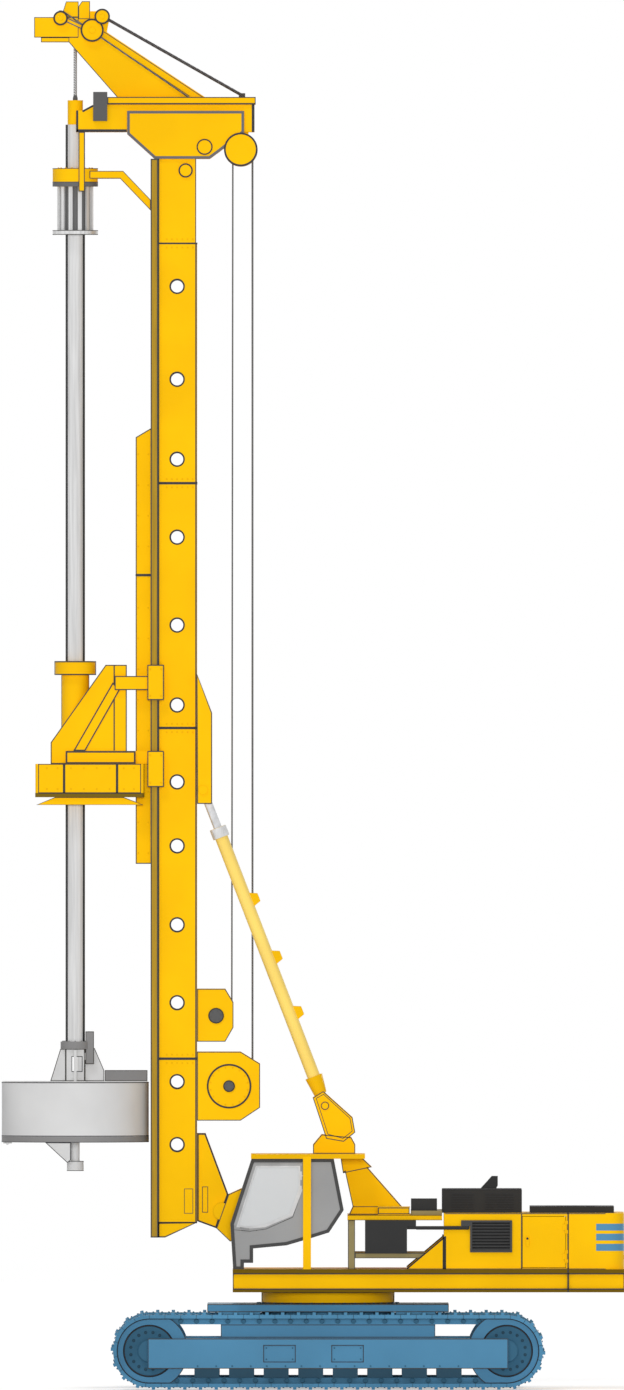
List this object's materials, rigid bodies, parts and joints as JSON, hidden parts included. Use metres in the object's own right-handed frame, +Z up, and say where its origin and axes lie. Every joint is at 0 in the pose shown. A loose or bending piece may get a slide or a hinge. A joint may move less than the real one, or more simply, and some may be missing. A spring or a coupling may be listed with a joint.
{
  "type": "rotary drilling rig",
  "caption": "Crawler-mounted rotary drilling rig with a slewing upper, tilting mast, sliding rotary drive, kelly bar and drilling bucket.",
  "frame": {"origin": "on the ground, on the slewing axis", "axes": "+Z up along the mast, -X towards the drilling tool, -Y towards the cab side"},
  "size_m": [8.7158, 3.9, 19.439],
  "materials": {
    "blue_paint": "satin paint",
    "dark_blue_paint": "satin paint",
    "yellow_paint": "gloss paint",
    "yellow_casting": "gloss paint",
    "amber_paint": "satin paint",
    "khaki_paint": "satin paint",
    "dark_metal": "matt paint",
    "engine_iron": "matt paint",
    "drum_steel": "satin",
    "pale_yellow_paint": "gloss paint",
    "chrome_rod": "polished",
    "rail_paint": "satin, worn",
    "cab_paint": "satin paint",
    "cab_glass": "clear",
    "cab_trim": "grained",
    "kelly_steel": "machined",
    "tool_steel": "machined"
  },
  "bodies": {
    "undercarriage": {"tracks": "blue_paint", "track_wheels": "dark_blue_paint", "track_rollers": "dark_blue_paint", "track_frames": "blue_paint", "carbody": "blue_paint"},
    "upper": {"slew_ring": "yellow_paint", "upper_frame": "yellow_paint", "counterweight": "yellow_casting", "house_shell": "yellow_paint", "side_grilles": "dark_metal", "engine_block": "engine_iron", "exhaust_box": "dark_metal", "roof_cooler": "dark_metal", "platform": "amber_paint", "platform_supports": "khaki_paint", "valve_block": "dark_metal", "gantry": "yellow_paint", "stay_foot_brackets": "yellow_paint", "mast_foot_arms": "yellow_paint", "cab_shell": "cab_paint", "cab_windows": "cab_glass", "cab_interior": "cab_trim"},
    "house_door_left": {"house_door_left": "yellow_paint"},
    "house_door_right": {"house_door_right": "yellow_paint"},
    "cab_door": {"cab_door": "cab_paint", "cab_door_glass": "cab_glass"},
    "stay_barrels": {"stay_barrels": "pale_yellow_paint"},
    "stay_rods": {"stay_rods": "chrome_rod"},
    "mast": {"mast_lengths": "yellow_paint", "guide_rails": "rail_paint", "mast_brackets": "yellow_paint", "crowd_casing": "yellow_paint", "winch_housings": "yellow_paint", "mast_head": "yellow_paint", "head_boxes": "dark_metal", "jib": "yellow_paint", "pendant_stays": "dark_metal", "kelly_guide": "yellow_paint", "kelly_guide_cage": "kelly_steel"},
    "main_drum": {"main_winch_drum": "drum_steel"},
    "auxiliary_drum": {"auxiliary_winch_drum": "drum_steel"},
    "rear_sheave": {"rear_sheave": "yellow_casting"},
    "auxiliary_sheave": {"auxiliary_sheave": "yellow_casting"},
    "jib_sheave": {"jib_sheave": "yellow_casting"},
    "jib_disc": {"jib_disc": "yellow_casting"},
    "jib_front_pulley": {"jib_front_pulley": "yellow_casting"},
    "jib_rear_pulley": {"jib_rear_pulley": "yellow_casting"},
    "sledge": {"sledge_frame": "yellow_paint", "rotary_drive": "yellow_paint"},
    "swivel": {"swivel": "yellow_paint"},
    "kelly": {"kelly_bar": "kelly_steel", "tool_head": "kelly_steel", "tool_lever": "tool_steel", "bucket_body": "kelly_steel"},
    "bucket_floor": {"bucket_floor": "tool_steel"}
  },
  "joints": [
    {"name": "slew", "type": "hinge", "parent": "undercarriage", "child": "upper", "pos_m": [0, 0, 1.19], "axis": [0, 0, 1], "continuous": true},
    {"name": "mast_tilt", "type": "hinge", "parent": "upper", "child": "mast", "pos_m": [-1.484, 0, 2.478], "axis": [0, 1, 0], "range_deg": [-5, 15]},
    {"name": "stay_swing", "type": "hinge", "parent": "upper", "child": "stay_barrels", "pos_m": [-0.042, 0, 3.962], "axis": [0, 1, 0], "range_deg": [-6.3, 18.7]},
    {"name": "stay_stroke", "type": "slide", "parent": "stay_barrels", "child": "stay_rods", "axis": [-0.3602, 0, 0.9329], "range_m": [-0.47, 0.16]},
    {"name": "crowd", "type": "slide", "parent": "mast", "child": "sledge", "axis": [0, 0, 1], "range_m": [-3, 3]},
    {"name": "hoist", "type": "slide", "parent": "mast", "child": "swivel", "axis": [0, 0, 1], "range_m": [-1.3, 0]},
    {"name": "kelly_turn", "type": "hinge", "parent": "swivel", "child": "kelly", "pos_m": [-3.542, 0, 10], "axis": [0, 0, 1], "continuous": true},
    {"name": "bucket_floor_hinge", "type": "hinge", "parent": "kelly", "child": "bucket_floor", "pos_m": [-4.492, 0, 3.43], "axis": [0, 1, 0], "range_deg": [0, 65]},
    {"name": "main_drum_turn", "type": "hinge", "parent": "mast", "child": "main_drum", "pos_m": [-1.386, 0, 4.235], "axis": [0, 1, 0], "continuous": true},
    {"name": "auxiliary_drum_turn", "type": "hinge", "parent": "mast", "child": "auxiliary_drum", "pos_m": [-1.568, 0, 5.222], "axis": [0, 1, 0], "continuous": true},
    {"name": "rear_sheave_turn", "type": "hinge", "parent": "mast", "child": "rear_sheave", "pos_m": [-1.222, 0, 17.36], "axis": [0, 1, 0], "continuous": true},
    {"name": "auxiliary_sheave_turn", "type": "hinge", "parent": "mast", "child": "auxiliary_sheave", "pos_m": [-1.504, -0.16, 17.58], "axis": [0, 1, 0], "continuous": true},
    {"name": "jib_sheave_turn", "type": "hinge", "parent": "mast", "child": "jib_sheave", "pos_m": [-3.37, 0, 18.9], "axis": [0, 1, 0], "continuous": true},
    {"name": "jib_disc_turn", "type": "hinge", "parent": "mast", "child": "jib_disc", "pos_m": [-3.305, -0.16, 19.033], "axis": [0, 1, 0], "continuous": true},
    {"name": "jib_front_pulley_turn", "type": "hinge", "parent": "mast", "child": "jib_front_pulley", "pos_m": [-3.748, -0.16, 19.202], "axis": [0, 1, 0], "continuous": true},
    {"name": "jib_rear_pulley_turn", "type": "hinge", "parent": "mast", "child": "jib_rear_pulley", "pos_m": [-3.164, -0.16, 19.225], "axis": [0, 1, 0], "continuous": true},
    {"name": "cab_door_swing", "type": "hinge", "parent": "upper", "child": "cab_door", "pos_m": [-0.359, -1.448, 2.99], "axis": [0, 0, 1], "range_deg": [0, 85]},
    {"name": "house_door_left_swing", "type": "hinge", "parent": "upper", "child": "house_door_left", "pos_m": [3.328, -1.464, 2.1], "axis": [0, 0, 1], "range_deg": [0, 110]},
    {"name": "house_door_right_swing", "type": "hinge", "parent": "upper", "child": "house_door_right", "pos_m": [3.328, 1.464, 2.1], "axis": [0, 0, 1], "range_deg": [-110, 0]}
  ],
  "couplings": [
    {"joint": "stay_swing", "follows": "mast_tilt", "ratio": 1.24},
    {"joint": "stay_stroke", "follows": "mast_tilt", "m_per_rad": -1.75}
  ]
}
